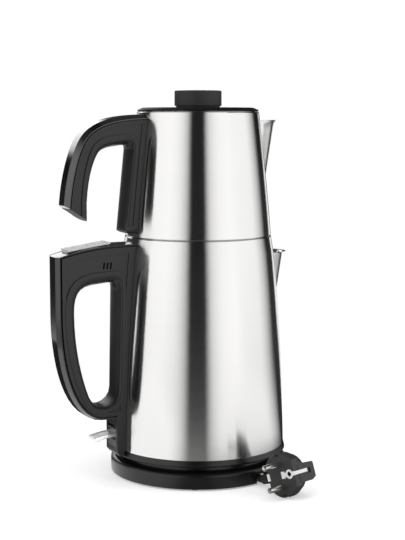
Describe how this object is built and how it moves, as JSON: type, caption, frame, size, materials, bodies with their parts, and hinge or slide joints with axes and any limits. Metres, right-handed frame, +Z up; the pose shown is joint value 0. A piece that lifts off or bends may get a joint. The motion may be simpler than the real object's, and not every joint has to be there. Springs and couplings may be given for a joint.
{
  "type": "electric two-tier tea maker",
  "caption": "Steel kettle on a cordless round power base with a steel teapot stacked in its mouth, black handles, lid and knob, and a mains lead with plug.",
  "frame": {"origin": "on the table surface, on the common axis of the kettle and the teapot", "axes": "+Z up along the vessels' axis, spouts towards +X, handles towards -X"},
  "size_m": [0.2279, 0.2157, 0.3447],
  "materials": {
    "base_black": "fine satin",
    "handle_black": "satin with fine grain",
    "trim_black": "smooth satin",
    "steel": "fine brushed",
    "steel_inner": "satin",
    "aluminium_plate": "rolled",
    "element_sheath": "heat tinted",
    "contact_brass": "bright",
    "screw_zinc": "zinc plated",
    "pin_nickel": "nickel plated",
    "foot_rubber": "matt",
    "lead_rubber": "matt",
    "shutter_red": "matt",
    "socket_grey": "matt",
    "panel_silver": "silver, polished",
    "key_silver": "silver, polished",
    "board_green": "lacquered",
    "housing_grey": "matt",
    "lever_clear": "translucent"
  },
  "bodies": {
    "power_base": {"base_cover": "base_black", "base_plate": "base_black", "base_feet": "foot_rubber", "base_screws": "screw_zinc", "base_socket": "socket_grey", "socket_contacts": "contact_brass", "cord_gland": "socket_grey", "cord_winding": "lead_rubber", "power_cord": "lead_rubber", "cord_sleeve": "lead_rubber", "plug_body": "lead_rubber", "plug_pins": "pin_nickel", "plug_earth_clips": "pin_nickel"},
    "swivel_shutter": {"socket_shutter": "shutter_red"},
    "kettle": {"kettle_shell": "steel", "kettle_spout": "steel", "kettle_floor": "steel_inner", "heat_spreader": "aluminium_plate", "heating_element": "element_sheath", "thermostat_disc": "steel_inner", "kettle_connector": "socket_grey", "connector_pins": "contact_brass", "kettle_collar": "base_black", "kettle_underside": "base_black", "underside_screws": "screw_zinc", "kettle_handle": "handle_black", "kettle_handle_spine": "trim_black", "kettle_handle_bracket": "steel_inner", "kettle_handle_screws": "screw_zinc", "control_panel": "panel_silver", "control_board": "board_green", "sound_unit": "socket_grey", "switch_housing": "housing_grey", "lever_pin": "screw_zinc"},
    "lever": {"power_lever": "lever_clear"},
    "key_1": {"panel_key_1": "key_silver"},
    "key_2": {"panel_key_2": "key_silver"},
    "teapot": {"teapot_shell": "steel", "teapot_floor": "steel_inner", "teapot_spout": "steel", "teapot_handle": "handle_black", "teapot_handle_spine": "trim_black", "teapot_handle_bracket": "steel_inner", "teapot_handle_screws": "screw_zinc"},
    "infuser": {"infuser_basket": "steel_inner", "infuser_rim": "steel_inner"},
    "lid": {"lid_plate": "trim_black", "lid_skirt": "base_black", "lid_knob": "trim_black", "lid_knob_screw": "screw_zinc"}
  },
  "joints": [
    {"name": "kettle_swivel", "type": "hinge", "parent": "power_base", "child": "swivel_shutter", "pos_m": [0, 0, 0.03], "axis": [0, 0, 1], "continuous": true},
    {"name": "kettle_lift", "type": "slide", "parent": "swivel_shutter", "child": "kettle", "axis": [0, 0, 1], "range_m": [0, 0.08]},
    {"name": "teapot_lift", "type": "slide", "parent": "kettle", "child": "teapot", "axis": [0, 0, 1], "range_m": [0, 0.12]},
    {"name": "infuser_lift", "type": "slide", "parent": "teapot", "child": "infuser", "axis": [0, 0, 1], "range_m": [0, 0.11]},
    {"name": "lid_lift", "type": "slide", "parent": "infuser", "child": "lid", "axis": [0, 0, 1], "range_m": [0, 0.1]},
    {"name": "power_lever_tip", "type": "hinge", "parent": "kettle", "child": "lever", "pos_m": [-0.0816, 0, 0.041], "axis": [0, -1, 0], "range_deg": [0, 12]},
    {"name": "key_1_press", "type": "slide", "parent": "kettle", "child": "key_1", "axis": [0.1409, 0, -0.99], "range_m": [0, 0.0008], "stiffness_N_per_m": 300},
    {"name": "key_2_press", "type": "slide", "parent": "kettle", "child": "key_2", "axis": [0.1409, 0, -0.99], "range_m": [0, 0.0008], "stiffness_N_per_m": 300}
  ]
}
